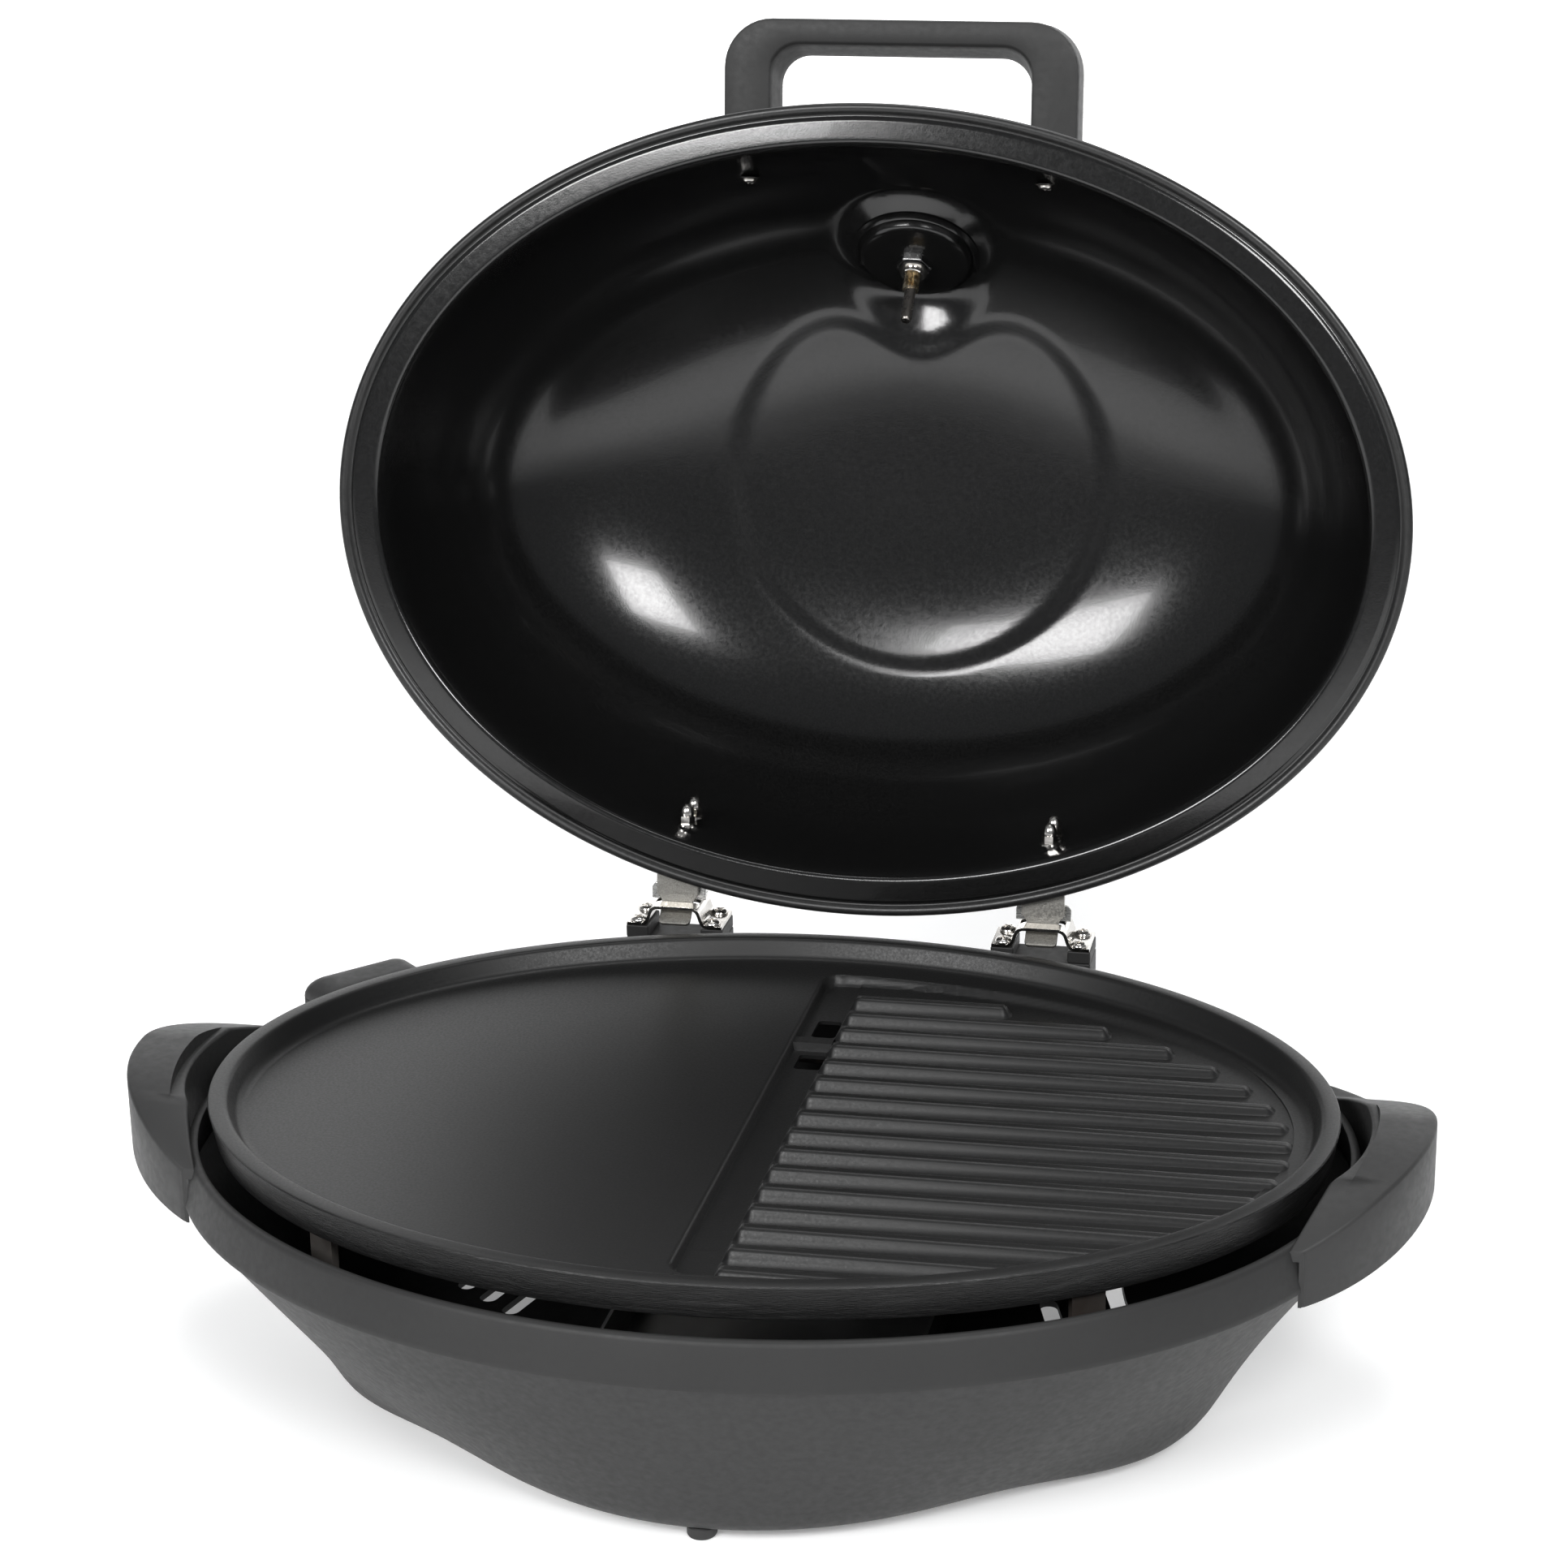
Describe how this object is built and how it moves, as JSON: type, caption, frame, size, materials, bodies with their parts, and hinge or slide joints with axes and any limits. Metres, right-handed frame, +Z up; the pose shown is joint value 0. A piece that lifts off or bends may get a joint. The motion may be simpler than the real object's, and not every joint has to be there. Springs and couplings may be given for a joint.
{
  "type": "electric griddle",
  "caption": "Oval tabletop electric griddle with a half-flat, half-ribbed plate, side grips and a domed lid with thermometer that opens on rear hook hinges.",
  "frame": {"origin": "on the table, under the middle of the open griddle's outline; the plate's centre is 95 mm in front of it", "axes": "+X to the griddle's right seen from the front, +Y to the rear where the lid is hinged, +Z up"},
  "size_m": [0.546, 0.5704, 0.5347],
  "materials": {
    "base_plastic": "matte moulded plastic with a fine grain",
    "foot_rubber": "soft rubber",
    "tray_steel": "thin pressed steel",
    "element_steel": "heat-stained steel tube",
    "plate_coating": "satin non-stick coating on cast metal",
    "lens_red": "clear red lens",
    "lid_coating": "semi-gloss enamel with fine orange peel",
    "dial_white": "printed dial",
    "dial_glass": "clear glass",
    "needle_red": "painted needle",
    "stem_brass": "threaded brass",
    "nut_black": "blackened steel nut",
    "cover_metal": "brushed stainless strip",
    "bright_steel": "nickel-plated steel"
  },
  "bodies": {
    "base": {"base_tub": "base_plastic", "base_rim": "base_plastic", "side_handle_left": "base_plastic", "side_handle_right": "base_plastic", "rubber_feet": "foot_rubber", "hinge_block_left": "base_plastic", "hinge_block_right": "base_plastic", "hinge_bracket_left": "bright_steel", "hinge_bracket_right": "bright_steel", "bracket_screws": "bright_steel", "stop_tab_left": "bright_steel", "stop_tab_right": "bright_steel", "plate_supports": "bright_steel", "drip_tray": "tray_steel", "heating_element": "element_steel", "terminal_pins": "bright_steel", "probe_socket": "bright_steel", "griddle_plate": "plate_coating"},
    "lid": {"lid_shell": "lid_coating", "lid_rim": "lid_coating", "thermometer_well": "lid_coating", "lid_handle": "base_plastic", "handle_cover": "cover_metal", "handle_screws": "bright_steel", "hinge_strap_left": "bright_steel", "hinge_strap_right": "bright_steel", "strap_bolts": "bright_steel", "cap_nuts": "bright_steel", "thermometer_cup": "bright_steel", "thermometer_dial": "dial_white", "thermometer_glass": "dial_glass", "thermometer_stem": "stem_brass", "thermometer_nut": "nut_black", "thermometer_probe": "bright_steel"},
    "controller": {"controller_housing": "base_plastic", "controller_cover": "base_plastic", "controller_probe": "bright_steel", "cord_gland": "foot_rubber", "indicator_lens": "lens_red"},
    "knob": {"control_knob": "base_plastic"},
    "needle": {"thermometer_needle": "needle_red"}
  },
  "joints": [
    {"name": "lid_hinge", "type": "hinge", "parent": "base", "child": "lid", "pos_m": [0, 0.092, 0.135], "axis": [1, 0, 0], "range_deg": [0, 97]},
    {"name": "controller_unplug", "type": "slide", "parent": "base", "child": "controller", "axis": [-0.7391, 0.6736, 0], "range_m": [0, 0.06]},
    {"name": "knob_turn", "type": "hinge", "parent": "controller", "child": "knob", "pos_m": [-0.23206, 0.04087, 0.094], "axis": [-0.7391, 0.6736, 0], "range_deg": [0, 270]},
    {"name": "needle_turn", "type": "hinge", "parent": "lid", "child": "needle", "pos_m": [0, 0.25892, 0.4228], "axis": [0, 0.7314, 0.682], "range_deg": [-270, 0]}
  ]
}
